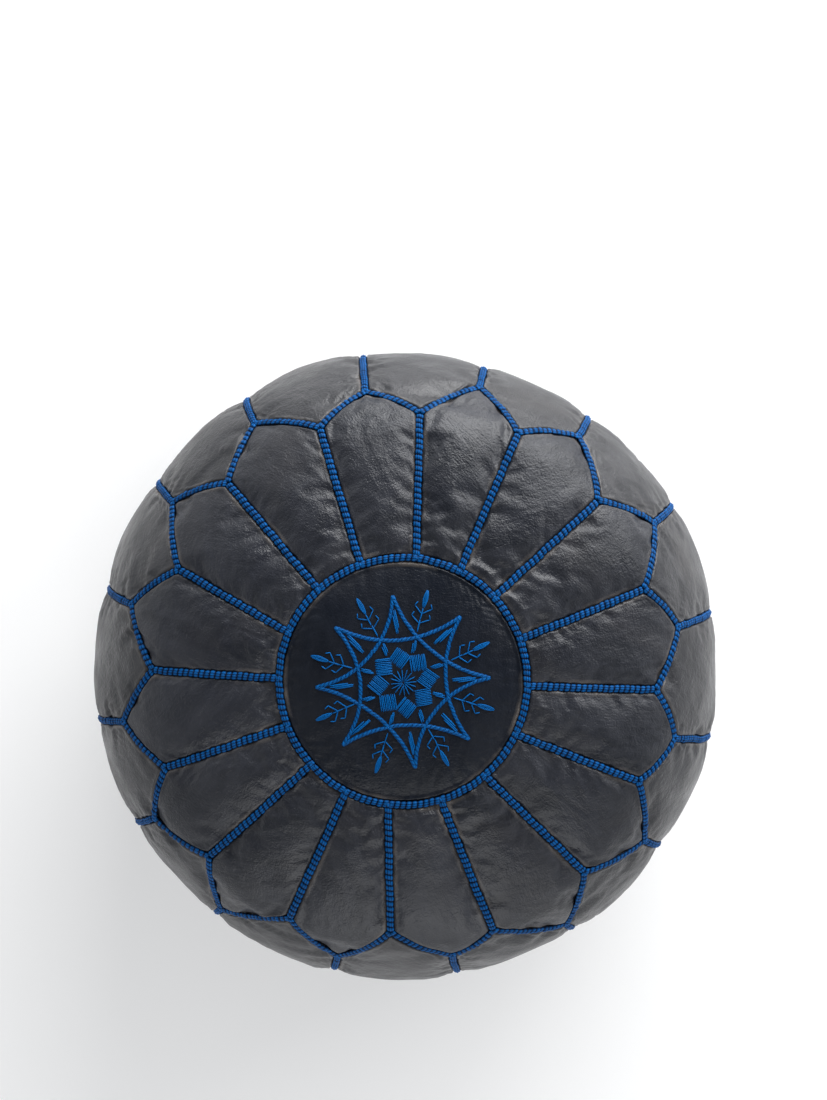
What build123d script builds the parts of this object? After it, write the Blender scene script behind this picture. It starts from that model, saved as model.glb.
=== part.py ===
from build123d import *
import os
from math import atan2, cos, degrees, radians, sin

# Moroccan leather pouf, millimetres, standing on its base: +Z up through the embroidered top,
# origin in the middle of the base.  A leather cover of one medallion, sixteen petals, sixteen
# side panels and a two-part base is sewn with raised braids, lined with cotton, stuffed, and
# closed by a zip under the base.  Every leather piece is cut from one turned shell, so the
# panels meet edge to edge, and every braid and stitch is cut from a thin layer over it.

# ---- driving dimensions -------------------------------------------------------------------
WIDEST_R = 258.0         # leather, at the fullest part of the side
TOP_Z = 328.0            # leather, in the middle of the top
DOME_R = 625.0           # radius of the crowned top, in section
DOME_TURN = 17.2         # degrees of the section that the crowned top takes
SHOULDER_R = 60.0        # radius of the shoulder, in section
SHOULDER_TURN = 32.8
LOWER_SIDE_R = 220.0     # radius of the side below its fullest part, in section
LOWER_SIDE_TURN = 40.0
FOOT_R = 160.0           # inner edge of the flat ring that the pouf rests on
RECESS_R = 128.0         # the base inside this radius is drawn up and flat
RECESS_Z = 10.0          # how far it is drawn up, so that the zip is off the floor
LEATHER = 1.8
LINING = 0.8
SLACK = 0.1              # the lining and the stuffing each lie this far inside the layer over them

PETAL_COUNT = 16
STEP_DEG = 360 / PETAL_COUNT
MEDALLION_R = 92.0       # seam between the medallion and the petals
SPOKE_DEG = 87.5         # first spoke seam, counter-clockwise from +X; the rest go clockwise
VALLEY_R = 198.0         # outer end of a spoke seam, where two petals part
TIP_R = 226.0            # point of a petal
PETAL_BOW = 3.0          # how far a petal's outer edges curve outwards
BASE_SEAM_R = 145.0      # seam between the side panels and the base
SEAM_END_R = 194.0       # the side seams' braids end here, just off the floor

BRAID_W = 6.0
BRAID_PROUD = 2.0        # braids stand this far over the leather
THREAD_PROUD = 1.0       # and the flat embroidery this far

# The petals are cut by hand.  These are each seam's own lean from even spacing, in degrees,
# and each valley's and point's own reach, in mm, clockwise from the first spoke.
SPOKE_LEAN = [-3.5, -2, 0.5, 0, 0.5, 0, -1.5, -2.5, -4.5, -2.5, -0.5, 1, 1, 1.5, 0, 0]
VALLEY_LEAN = [-1, 0, 0, 0.5, 0, 1.5, 0.5, -0.5, -0.5, -0.5, 0, 0.5, 0.5, -1, -0.5, -1.5]
TIP_LEAN = [-1, -1, 0, 0, 1.5, 1, 1.5, 1.5, 1, 0.5, -1.5, -1.5, 0.5, -1, -0.5, -0.5]
VALLEY_REACH = [5, 8, 1, -4, -6, -5, 4, 8, -5, 5, 2, -6, -8, -9, 2, 2]
TIP_REACH = [-4, 8, 4, 1, -10, -13, 4, 12, -4, 4, 13, -4, -6, -8, 0, 1]

# Embroidery on the medallion
STAR_R = 66.0            # points of the eight-pointed star
STAR_DEG = 95.0
STAR_LEAN = [2, -1, -2, -1, 3, -4, -2, 1]
STAR_WAIST = 0.487       # a star line's nearest approach to the centre, as a share of STAR_R
STAR_LINE_W = 2.6
SPRIG_LINE_W = 1.6

# Zip, along X under the base
ZIP_HALF = 112.0         # half the length of the opening
SLIDE_TRAVEL = 210.0
TAPE_W = 14.0
TAPE_T = 0.8
TOOTH_PITCH = 3.0
TOOTH_GAP = 0.9          # from the middle line to each row, so that the slider's wedge passes
TOOTH_REACH = 2.5
TOOTH_T = 2.6
SLOT_HALF = 5.5          # half the gap between the two base leathers
SLIDER_L = 12.0
SLIDER_HALF_W = 4.6
PLATE_T = 1.6
PULL_L = 24.0

MID_Z = 155.0            # a level between the top's seams and the base's
FAR = 400.0              # beyond every surface

tape_z = RECESS_Z + LEATHER                      # underside of the zip tapes
teeth_z = tape_z + TAPE_T / 2 - TOOTH_T / 2      # underside of the teeth
plate_top = teeth_z - 0.4                        # upper face of the slider's lower plate
plate_z = plate_top - PLATE_T                    # its lower face
hinge_z = plate_z - 1.0                          # axis of the pull's crossbar
slider_x = SLIDE_TRAVEL / 2                      # middle of the slider with the zip closed


def polar(radius, angle):
    """A point of a plan view from its radius and its angle in degrees."""
    return (radius * cos(radians(angle)), radius * sin(radians(angle)))


def section_arcs():
    """The leather's outer section, from the top's middle to the foot: (centre, radius, from, by).

    Each arc starts where the last one ends and shares its tangent, so its centre lies on the
    line through the last centre and the joint.
    """
    shoulder_deg = 90 - DOME_TURN
    side_deg = shoulder_deg - SHOULDER_TURN
    dome = (0.0, TOP_Z - DOME_R)
    shoulder = (dome[0] + (DOME_R - SHOULDER_R) * cos(radians(shoulder_deg)),
                dome[1] + (DOME_R - SHOULDER_R) * sin(radians(shoulder_deg)))
    side_r = (WIDEST_R - shoulder[0] - SHOULDER_R * cos(radians(side_deg))) / (1 - cos(radians(side_deg)))
    side = (shoulder[0] + (SHOULDER_R - side_r) * cos(radians(side_deg)),
            shoulder[1] + (SHOULDER_R - side_r) * sin(radians(side_deg)))
    lower = (side[0] + side_r - LOWER_SIDE_R, side[1])
    drop = sin(radians(LOWER_SIDE_TURN))
    corner_r = (lower[1] - LOWER_SIDE_R * drop) / (1 - drop)
    corner = (lower[0] + (LOWER_SIDE_R - corner_r) * cos(radians(LOWER_SIDE_TURN)), corner_r)
    return [
        (dome, DOME_R, 90.0, -DOME_TURN),
        (shoulder, SHOULDER_R, shoulder_deg, -SHOULDER_TURN),
        (side, side_r, side_deg, -side_deg),
        (lower, LOWER_SIDE_R, 0.0, -LOWER_SIDE_TURN),
        (corner, corner_r, -LOWER_SIDE_TURN, LOWER_SIDE_TURN - 90.0),
    ]


ARCS = section_arcs()
# The base is drawn up by two equal arcs that meet halfway
RISE_RUN = FOOT_R - RECESS_R
RISE_R = (RISE_RUN**2 + RECESS_Z**2) / (4 * RECESS_Z)
RISE_TURN = degrees(2 * atan2(RECESS_Z, RISE_RUN))


def turned_solid(inset):
    """The whole pouf as one turned solid, inset mm inside the leather's outer face."""
    foot_start = ARCS[-1][0][0]
    with BuildPart() as solid:
        with BuildSketch(Plane.XZ):
            with BuildLine():
                for centre, radius, start, turn in ARCS:
                    CenterArc(centre, radius - inset, start, turn)
                Line((foot_start, inset), (FOOT_R, inset))
                CenterArc((FOOT_R, RISE_R), RISE_R - inset, -90, -RISE_TURN)
                CenterArc((RECESS_R, RECESS_Z - RISE_R), RISE_R + inset, 90 - RISE_TURN, RISE_TURN)
                Polyline((RECESS_R, RECESS_Z + inset), (0, RECESS_Z + inset), (0, TOP_Z - inset))
            make_face()
        revolve(axis=Axis.Z)
    return solid


def layer(outer_inset, inner_inset):
    """The closed shell between two insets."""
    with BuildPart() as shell:
        add(turned_solid(outer_inset).part)
        add(turned_solid(inner_inset).part, mode=Mode.SUBTRACT)
    return shell


leather_shell = layer(0, LEATHER)
braid_shell = layer(-BRAID_PROUD, 0)
thread_shell = layer(-THREAD_PROUD, 0)
lining_shell = layer(LEATHER + SLACK, LEATHER + SLACK + LINING)

os.makedirs("parts", exist_ok=True)


def hand_over(piece, name):
    """Label a finished piece and write its file."""
    piece.part.label = name
    export_step(piece.part, f"parts/{name}.step")


# ---- where the seams run, in plan ------------------------------------------------------------
def seam_point(index, radius, reach, first_deg, lean):
    """A seam's end: its own reach and lean added to the even spacing, clockwise."""
    turn = first_deg - STEP_DEG * index + lean[index % PETAL_COUNT]
    return polar(radius + (reach[index % PETAL_COUNT] if reach else 0), turn)


def spoke_start(index):
    return seam_point(index, MEDALLION_R, None, SPOKE_DEG, SPOKE_LEAN)


def valley(index):
    return seam_point(index, VALLEY_R, VALLEY_REACH, SPOKE_DEG, VALLEY_LEAN)


def tip(index):
    """Point of the petal that lies between spoke index - 1 and spoke index."""
    return seam_point(index, TIP_R, TIP_REACH, SPOKE_DEG + STEP_DEG / 2, TIP_LEAN)


def tip_angle(index):
    return SPOKE_DEG + STEP_DEG / 2 - STEP_DEG * index + TIP_LEAN[index % PETAL_COUNT]


def bowed_edge(start, end):
    """A petal's outer edge, from start to end, curved away from the pouf's axis by PETAL_BOW."""
    middle = Vector((start[0] + end[0]) / 2, (start[1] + end[1]) / 2)
    outward = middle.normalized() * PETAL_BOW
    return ThreePointArc(start, middle + outward, end)


def flower_outline():
    """The closed line of all the petals' outer edges."""
    with BuildSketch() as outline:
        with BuildLine():
            for index in range(PETAL_COUNT):
                bowed_edge(valley(index), tip(index))
                bowed_edge(tip(index), valley(index - 1))
        make_face()
    return outline.sketch


FLOWER = flower_outline()

with BuildSketch() as scallop_band:
    offset(FLOWER, BRAID_W / 2, kind=Kind.ARC)
    offset(FLOWER, -BRAID_W / 2, kind=Kind.ARC, mode=Mode.SUBTRACT)

# ---- leather --------------------------------------------------------------------------------
with BuildPart() as top_medallion:
    with BuildSketch(Plane.XY.offset(MID_Z)):
        Circle(MEDALLION_R)
    extrude(amount=FAR)
    add(leather_shell.part, mode=Mode.INTERSECT)
hand_over(top_medallion, "top_medallion")

# A petal runs from the medallion's seam out to its point, between two spoke seams
for number in range(PETAL_COUNT):
    with BuildPart() as petal:
        with BuildSketch(Plane.XY.offset(MID_Z)):
            with BuildLine():
                Line(spoke_start(number), valley(number))
                bowed_edge(valley(number), tip(number))
                bowed_edge(tip(number), valley(number - 1))
                Polyline(valley(number - 1), spoke_start(number - 1), (0, 0), spoke_start(number))
            make_face()
            Circle(MEDALLION_R, mode=Mode.SUBTRACT)
        extrude(amount=FAR)
        add(leather_shell.part, mode=Mode.INTERSECT)
    hand_over(petal, f"petal_{number + 1:02d}")

# A side panel fills the notch between two points, and goes over the side to the base's seam
for number in range(PETAL_COUNT):
    with BuildPart() as side_panel:
        with BuildSketch():
            Polygon((0, 0), polar(FAR, tip_angle(number + 1)), polar(FAR, tip_angle(number)), align=None)
        extrude(amount=FAR)
        add(leather_shell.part, mode=Mode.INTERSECT)
        with BuildSketch(Plane.XY.offset(MID_Z)):
            add(FLOWER)
        extrude(amount=FAR, mode=Mode.SUBTRACT)
        with BuildSketch():
            Circle(BASE_SEAM_R)
        extrude(amount=MID_Z, mode=Mode.SUBTRACT)
    hand_over(side_panel, f"side_panel_{number + 1:02d}")

# The base is two half discs with the zip between them
for name, side in (("base_half_left", 1), ("base_half_right", -1)):
    with BuildPart() as base_half:
        with BuildSketch():
            Circle(BASE_SEAM_R)
            Rectangle(2 * FAR, FAR, align=(Align.CENTER, Align.MAX if side > 0 else Align.MIN),
                      mode=Mode.SUBTRACT)
            Rectangle(2 * ZIP_HALF, 2 * SLOT_HALF, mode=Mode.SUBTRACT)
        extrude(amount=MID_Z)
        add(leather_shell.part, mode=Mode.INTERSECT)
    hand_over(base_half, name)

# ---- raised braids over the seams ---------------------------------------------------------------
with BuildPart() as medallion_ring_braid:
    with BuildSketch(Plane.XY.offset(MID_Z)):
        Circle(MEDALLION_R + BRAID_W / 2)
        Circle(MEDALLION_R - BRAID_W / 2, mode=Mode.SUBTRACT)
    extrude(amount=FAR)
    add(braid_shell.part, mode=Mode.INTERSECT)
hand_over(medallion_ring_braid, "medallion_ring_braid")

with BuildPart() as scallop_braid:
    with BuildSketch(Plane.XY.offset(MID_Z)):
        add(scallop_band.sketch)
    extrude(amount=FAR)
    add(braid_shell.part, mode=Mode.INTERSECT)
hand_over(scallop_braid, "scallop_braid")

with BuildPart() as spoke_braids:
    with BuildSketch(Plane.XY.offset(MID_Z)):
        with BuildLine():
            for number in range(PETAL_COUNT):
                Line(spoke_start(number), valley(number))
        trace(line_width=BRAID_W)
        Circle(MEDALLION_R + BRAID_W / 2, mode=Mode.SUBTRACT)
        add(scallop_band.sketch, mode=Mode.SUBTRACT)
    extrude(amount=FAR)
    add(braid_shell.part, mode=Mode.INTERSECT)
hand_over(spoke_braids, "spoke_braids")

# From every petal's point a braid runs over the shoulder and down the side, to where the
# leather turns under onto the floor
with BuildPart() as side_seam_braids:
    with BuildSketch():
        with BuildLine():
            for number in range(PETAL_COUNT):
                Line(polar(SEAM_END_R, tip_angle(number)), polar(FAR, tip_angle(number)))
        trace(line_width=BRAID_W)
    extrude(amount=FAR)
    with BuildSketch(Plane.XY.offset(MID_Z)):
        offset(FLOWER, BRAID_W / 2, kind=Kind.ARC)
    extrude(amount=FAR, mode=Mode.SUBTRACT)
    add(braid_shell.part, mode=Mode.INTERSECT)
hand_over(side_seam_braids, "side_seam_braids")

with BuildPart() as base_seam_braid:
    with BuildSketch():
        Circle(BASE_SEAM_R + BRAID_W / 2)
        Circle(BASE_SEAM_R - BRAID_W / 2, mode=Mode.SUBTRACT)
    extrude(amount=MID_Z)
    add(braid_shell.part, mode=Mode.INTERSECT)
hand_over(base_seam_braid, "base_seam_braid")


# ---- embroidery on the medallion ----------------------------------------------------------------
def star_angle(index):
    """Direction of a star point, or of the middle between two when index ends in a half."""
    before, after = STAR_LEAN[int(index) % 8], STAR_LEAN[int(index + 0.5) % 8]
    return STAR_DEG - 45 * index + (before + after) / 2


def placed(share, index):
    """A spot on the medallion, at a share of STAR_R, turned to face outwards."""
    x, y = polar(share * STAR_R, star_angle(index))
    return Location((x, y, 0), (0, 0, star_angle(index)))


def star_line(index):
    """The curved line from star point index to index + 2: part of a ring round a far centre."""
    aim = (star_angle(index) + star_angle(index + 2)) / 2
    half_turn = radians((star_angle(index) - star_angle(index + 2)) / 2)
    waist = STAR_WAIST * STAR_R
    far = (STAR_R**2 - waist**2) / (2 * (STAR_R * cos(half_turn) - waist))
    with BuildPart() as line:
        with BuildSketch(Plane.XY.offset(MID_Z)):
            with Locations(polar(far, aim)):
                Circle(far - waist + STAR_LINE_W / 2)
                Circle(far - waist - STAR_LINE_W / 2, mode=Mode.SUBTRACT)
            Circle(STAR_R, mode=Mode.INTERSECT)
        extrude(amount=FAR)
        add(thread_shell.part, mode=Mode.INTERSECT)
    return line.part


# Two interlaced squares with hollow sides make the star
star_lines = [star_line(number) for number in range(8)]
with BuildPart() as star_embroidery:
    for line in star_lines:
        add(line)
hand_over(star_embroidery, "star_embroidery")

# A long leaf in each star point and a small one inside each crossing
with BuildPart() as leaf_embroidery:
    with BuildSketch(Plane.XY.offset(MID_Z)):
        with Locations([placed(0.70, number) for number in range(8)]):
            Ellipse(0.13 * STAR_R, 0.03 * STAR_R)
        with Locations([placed(0.43, number + 0.5) for number in range(8)]):
            Ellipse(0.06 * STAR_R, 0.022 * STAR_R)
    extrude(amount=FAR)
    add(thread_shell.part, mode=Mode.INTERSECT)
hand_over(leaf_embroidery, "leaf_embroidery")

# Eight filled diamonds round a small sixteen-rayed centre
with BuildPart() as rosette_embroidery:
    with BuildSketch(Plane.XY.offset(MID_Z)):
        with Locations([placed(0.28, number) for number in range(8)]):
            Rectangle(0.17 * STAR_R, 0.17 * STAR_R, rotation=45)
        with PolarLocations(0.085 * STAR_R, 16):
            Rectangle(0.12 * STAR_R, 0.9)
        Circle(0.05 * STAR_R)
    extrude(amount=FAR)
    add(thread_shell.part, mode=Mode.INTERSECT)
hand_over(rosette_embroidery, "rosette_embroidery")

# Between the star points, a stem with two pairs of hooked side branches and a bud
with BuildPart() as sprig_embroidery:
    with BuildSketch(Plane.XY.offset(MID_Z)):
        for number in range(8):
            aim = star_angle(number + 0.5)
            with BuildLine():
                Line(polar(0.60 * STAR_R, aim), polar(0.88 * STAR_R, aim))
                for share in (0.70, 0.82):
                    for hand in (1, -1):
                        fork = Vector(*polar(share * STAR_R, aim))
                        elbow = fork + Vector(*polar(0.13 * STAR_R, aim + 55 * hand))
                        Polyline(fork, elbow, elbow + Vector(*polar(0.05 * STAR_R, aim)))
            trace(line_width=SPRIG_LINE_W)
        with Locations([placed(0.975, number + 0.5) for number in range(8)]):
            Ellipse(0.12 * STAR_R, 0.025 * STAR_R)
    extrude(amount=FAR)
    add(thread_shell.part, mode=Mode.INTERSECT)
hand_over(sprig_embroidery, "sprig_embroidery")

# ---- inside: cotton lining and stuffing -----------------------------------------------------------
TAPE_END = ZIP_HALF + 14
with BuildPart() as cotton_lining:
    add(lining_shell.part)
    with BuildSketch():
        Rectangle(2 * TAPE_END, 2 * (TOOTH_GAP + TOOTH_REACH + TAPE_W))
    extrude(amount=MID_Z, mode=Mode.SUBTRACT)
hand_over(cotton_lining, "cotton_lining")

# The wadding fills the lining, but for a channel that leaves room for the zip
with BuildPart() as stuffing:
    add(turned_solid(LEATHER + LINING + 2 * SLACK).part)
    with BuildSketch():
        Rectangle(2 * TAPE_END + 4, 2 * (TOOTH_GAP + TOOTH_REACH + TAPE_W + 2))
    extrude(amount=RECESS_Z + LEATHER + 8, mode=Mode.SUBTRACT)
hand_over(stuffing, "stuffing")

# ---- zip --------------------------------------------------------------------------------------------
TOOTH_COUNT = int(2 * (ZIP_HALF - 4) / TOOTH_PITCH)
for hand, side in (("left", 1), ("right", -1)):
    inner_edge = TOOTH_GAP + TOOTH_REACH
    with BuildPart() as zip_tape:
        with BuildSketch(Plane.XY.offset(tape_z)):
            with Locations((0, side * (inner_edge + TAPE_W / 2))):
                Rectangle(2 * TAPE_END, TAPE_W)
        extrude(amount=TAPE_T)
    hand_over(zip_tape, f"zip_tape_{hand}")

    with BuildPart() as zip_teeth:
        with BuildSketch(Plane.XY.offset(teeth_z)):
            with Locations((side * TOOTH_PITCH / 4, side * (TOOTH_GAP + TOOTH_REACH / 2))):
                with GridLocations(TOOTH_PITCH, 1, TOOTH_COUNT, 1):
                    RectangleRounded(0.55 * TOOTH_PITCH, TOOTH_REACH, 0.3)
        extrude(amount=TOOTH_T)
    hand_over(zip_teeth, f"zip_teeth_{hand}")

with BuildPart() as zip_stops:
    with BuildSketch(Plane.XY.offset(teeth_z)):
        with Locations((-ZIP_HALF + 0.7, 0)):
            RectangleRounded(1.4, 2 * (TOOTH_GAP + TOOTH_REACH), 0.4)
        for side in (1, -1):
            with Locations((ZIP_HALF - 0.5, side * (TOOTH_GAP + TOOTH_REACH / 2))):
                RectangleRounded(1.0, TOOTH_REACH, 0.3)
    extrude(amount=TOOTH_T)
hand_over(zip_stops, "zip_stops")

# Slider: two plates over and under the teeth, joined by the wedge between the rows, with low
# rims that guide the teeth and an arch below that holds the pull
UPPER_PLATE_Z = teeth_z + TOOTH_T + 0.4
with BuildPart() as zip_slider:
    for bottom, rim_bottom in ((plate_z, plate_top), (UPPER_PLATE_Z, UPPER_PLATE_Z - 0.8)):
        with BuildSketch(Plane.XY.offset(bottom)):
            with Locations((slider_x, 0)):
                RectangleRounded(SLIDER_L, 2 * SLIDER_HALF_W, 2.2)
        extrude(amount=PLATE_T)
        with BuildSketch(Plane.XY.offset(rim_bottom)):
            for side in (1, -1):
                with Locations((slider_x, side * (SLIDER_HALF_W - 0.35))):
                    Rectangle(SLIDER_L - 5, 0.7)
        extrude(amount=0.8)
    with BuildSketch(Plane.XY.offset(plate_top)):
        with Locations((slider_x + SLIDER_L / 2 - 3, 0)):
            Rectangle(4, 1.0)
    extrude(amount=UPPER_PLATE_Z - plate_top)
    with BuildSketch(Plane.XZ.offset(-1.1)):
        with Locations((slider_x, plate_z)):
            Rectangle(8.4, 3.0, align=(Align.CENTER, Align.MAX))
            Rectangle(6.4, 2.0, align=(Align.CENTER, Align.MAX), mode=Mode.SUBTRACT)
    extrude(amount=2.2)
hand_over(zip_slider, "zip_slider")

# Pull: a crossbar through the arch, two arms beside it and a tab with a hole
with BuildPart() as zip_pull:
    with BuildSketch(Plane.XZ.offset(-3.2)):
        with Locations((slider_x, hinge_z)):
            Circle(0.6)
    extrude(amount=6.4)
    with BuildSketch(Plane.XY.offset(hinge_z - 0.6)):
        for side in (1, -1):
            with Locations((slider_x + 0.6, side * 2.4)):
                Rectangle(7.0, 1.6, align=(Align.MAX, Align.CENTER))
        with Locations((slider_x - 5.4, 0)):
            Rectangle(PULL_L - 5.4 - 4, 6.4, align=(Align.MAX, Align.CENTER))
        with Locations((slider_x - PULL_L + 4, 0)):
            Circle(4.0)
            Circle(1.6, mode=Mode.SUBTRACT)
    extrude(amount=1.2)
hand_over(zip_pull, "zip_pull")
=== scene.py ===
import bmesh
import bpy
import numpy as np
from mathutils import Matrix, Vector


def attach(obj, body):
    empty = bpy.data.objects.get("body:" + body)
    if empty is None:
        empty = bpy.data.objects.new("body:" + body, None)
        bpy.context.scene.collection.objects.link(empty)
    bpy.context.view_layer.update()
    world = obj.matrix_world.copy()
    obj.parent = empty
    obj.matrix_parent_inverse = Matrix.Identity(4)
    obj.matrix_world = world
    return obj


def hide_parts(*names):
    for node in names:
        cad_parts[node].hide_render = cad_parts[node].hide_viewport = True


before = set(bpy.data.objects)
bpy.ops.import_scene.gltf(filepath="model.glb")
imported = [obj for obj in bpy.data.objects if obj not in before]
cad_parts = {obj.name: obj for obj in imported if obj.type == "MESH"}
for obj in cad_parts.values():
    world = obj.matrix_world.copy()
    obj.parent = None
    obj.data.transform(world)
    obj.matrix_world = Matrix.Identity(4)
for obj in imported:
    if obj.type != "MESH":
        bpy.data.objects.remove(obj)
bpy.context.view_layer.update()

# ---- room ---------------------------------------------------------------------------------
# The pouf is looked at straight from its embroidered side, from 1.3 m, on a plain pale floor.
# A wide soft light stands past its +Y side, and two weaker ones fill the other sides.
MM = 0.001
LENS_MM = 51.05
EYE = Vector((0.013, 0.108, 1.473))
AIM = Vector((0.0068, 0.096, 0.165))

scene = bpy.context.scene
scene.view_settings.view_transform = "Standard"
camera = bpy.data.objects.new("camera", bpy.data.cameras.new("camera"))
scene.collection.objects.link(camera)
camera.data.sensor_width = 36.0
camera.data.lens = LENS_MM
camera.data.clip_start = 0.01
camera.location = EYE
away = (EYE - AIM).normalized()
across = Vector((0.0, 1.0, 0.0)).cross(away).normalized()
turn = np.array([across, away.cross(across), away]).T
camera.rotation_euler = Matrix(turn.tolist()).to_euler()
scene.camera = camera


def softbox(name, place, target, size, watts):
    """A square soft white light at place that faces target."""
    lamp = bpy.data.lights.new(name, "AREA")
    lamp.size = size
    lamp.energy = watts
    holder = bpy.data.objects.new(name, lamp)
    holder.location = place
    holder.rotation_euler = (Vector(target) - Vector(place)).to_track_quat("-Z", "Y").to_euler()
    scene.collection.objects.link(holder)


softbox("key_light", (0.65, 2.0, 0.95), (0.0, 0.0, 0.15), 1.6, 74.0)
softbox("fill_light", (0.1, -2.0, 1.5), (0.0, 0.0, 0.1), 1.8, 26.0)
softbox("side_light", (1.6, 1.1, 1.2), (0.0, 0.0, 0.15), 0.9, 14.0)

room = bpy.data.worlds.new("room")
scene.world = room
room.use_nodes = True
sky = room.node_tree
heading = sky.nodes.new("ShaderNodeTexCoord")
parts = sky.nodes.new("ShaderNodeSeparateXYZ")
sky.links.new(heading.outputs["Generated"], parts.inputs[0])
height = sky.nodes.new("ShaderNodeValToRGB")
height.color_ramp.elements[0].color = (1.25, 1.27, 1.30, 1.0)
height.color_ramp.elements[1].color = (0.02, 0.022, 0.026, 1.0)
for stop, level in ((0.25, 1.10), (0.50, 0.72), (0.72, 0.26), (0.88, 0.05)):
    height.color_ramp.elements.new(stop).color = (level, 1.02 * level, 1.05 * level, 1.0)
sky.links.new(parts.outputs["Z"], height.inputs["Fac"])
side = sky.nodes.new("ShaderNodeMapRange")
side.inputs["From Min"].default_value = -0.6
side.inputs["From Max"].default_value = 0.6
side.inputs["To Min"].default_value = 0.75
side.inputs["To Max"].default_value = 1.25
sky.links.new(parts.outputs["Y"], side.inputs["Value"])
sky.links.new(height.outputs["Color"], sky.nodes["Background"].inputs["Color"])
sky.links.new(side.outputs["Result"], sky.nodes["Background"].inputs["Strength"])

# ---- pattern of the cover -----------------------------------------------------------------
# The cover is cut as one medallion, sixteen petals, sixteen side panels and two half discs for
# the base.  Their sewing lines lie on one turned form: a crowned top, a tight shoulder, a full
# side and a base that is drawn up in the middle.  Leans are degrees, reaches are millimetres.
WIDEST = 0.258
TOP = 0.328
DOME_R, DOME_TURN = 0.625, 17.2
SHOULDER_R, SHOULDER_TURN = 0.060, 32.8
LOWER_SIDE_R, LOWER_SIDE_TURN = 0.220, 40.0
FOOT, RECESS, RECESS_UP = 0.160, 0.128, 0.010
PETALS = 16
STEP = 360 / PETALS
MEDALLION_R, BASE_SEAM_R = 0.092, 0.145
VALLEY_R, TIP_R = 0.198, 0.226
PETAL_BOW = 0.003
FIRST_SPOKE = 87.5
SPOKE_LEAN = np.array([-3.5, -2, 0.5, 0, 0.5, 0, -1.5, -2.5, -4.5, -2.5, -0.5, 1, 1, 1.5, 0, 0])
VALLEY_LEAN = np.array([-1, 0, 0, 0.5, 0, 1.5, 0.5, -0.5, -0.5, -0.5, 0, 0.5, 0.5, -1, -0.5, -1.5])
TIP_LEAN = np.array([-1, -1, 0, 0, 1.5, 1, 1.5, 1.5, 1, 0.5, -1.5, -1.5, 0.5, -1, -0.5, -0.5])
VALLEY_REACH = np.array([5, 8, 1, -4, -6, -5, 4, 8, -5, 5, 2, -6, -8, -9, 2, 2]) * MM
TIP_REACH = np.array([-4, 8, 4, 1, -10, -13, 4, 12, -4, 4, 13, -4, -6, -8, 0, 1]) * MM


def section_line():
    """The form's section as points (radius, height) every half millimetre, top to base.

    It is five arcs that share their tangents, a flat foot, and two equal arcs up to the recess.
    """
    def arc(centre, radius, start, sweep):
        steps = max(8, int(radius * abs(np.radians(sweep)) / 0.0005))
        angle = np.radians(start + sweep * np.linspace(0, 1, steps))
        return np.stack([centre[0] + radius * np.cos(angle), centre[1] + radius * np.sin(angle)], 1)

    shoulder_deg, side_deg = 90 - DOME_TURN, 90 - DOME_TURN - SHOULDER_TURN
    cos_side, sin_side = np.cos(np.radians(side_deg)), np.sin(np.radians(side_deg))
    dome = np.array([0.0, TOP - DOME_R])
    reach = DOME_R - SHOULDER_R
    lean = np.radians(shoulder_deg)
    shoulder = dome + reach * np.array([np.cos(lean), np.sin(lean)])
    side_r = (WIDEST - shoulder[0] - SHOULDER_R * cos_side) / (1 - cos_side)
    side = shoulder + (SHOULDER_R - side_r) * np.array([cos_side, sin_side])
    lower = side + np.array([side_r - LOWER_SIDE_R, 0.0])
    drop = np.sin(np.radians(LOWER_SIDE_TURN))
    corner_r = (lower[1] - LOWER_SIDE_R * drop) / (1 - drop)
    step_in = (LOWER_SIDE_R - corner_r) * np.cos(np.radians(LOWER_SIDE_TURN))
    corner = np.array([lower[0] + step_in, corner_r])
    run = FOOT - RECESS
    rise_r = (run**2 + RECESS_UP**2) / (4 * RECESS_UP)
    rise_turn = np.degrees(2 * np.arctan2(RECESS_UP, run))
    line = np.concatenate([
        arc(dome, DOME_R, 90, -DOME_TURN),
        arc(shoulder, SHOULDER_R, shoulder_deg, -SHOULDER_TURN),
        arc(side, side_r, side_deg, -side_deg),
        arc(lower, LOWER_SIDE_R, 0, -LOWER_SIDE_TURN),
        arc(corner, corner_r, -LOWER_SIDE_TURN, LOWER_SIDE_TURN - 90),
        np.array([[corner[0] * (1 - t) + FOOT * t, 0.0] for t in (0.25, 0.5, 0.75)]),
        arc((FOOT, rise_r), rise_r, -90, -rise_turn),
        arc((RECESS, RECESS_UP - rise_r), rise_r, 90 - rise_turn, rise_turn),
        np.array([[0.0, RECESS_UP]]),
    ])
    keep = np.concatenate([[True], np.hypot(*np.diff(line, axis=0).T) > 1e-7])
    return line[keep]


SECTION = section_line()
RUN = np.concatenate([[0], np.cumsum(np.hypot(*np.diff(SECTION, axis=0).T))])
WIDEST_RUN = RUN[SECTION[:, 0].argmax()]
UPPER = RUN <= WIDEST_RUN
UNDER = (RUN > WIDEST_RUN) & (SECTION[:, 0] < 0.18)
BASE_RUN = np.interp(BASE_SEAM_R, SECTION[UNDER, 0][::-1], RUN[UNDER][::-1])


def swell(points, size, seed, waves=28):
    """A smooth random swell of about -1 to 1: plane waves about size long, in random directions."""
    dice = np.random.default_rng(seed)
    heading = dice.normal(size=(waves, 3))
    heading /= np.linalg.norm(heading, axis=1, keepdims=True)
    heading /= size * dice.uniform(0.7, 1.5, (waves, 1))
    phase = dice.uniform(0, 2 * np.pi, waves)
    return np.sin(2 * np.pi * points @ heading.T + phase).sum(-1) / np.sqrt(waves / 2) / 1.6


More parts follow.
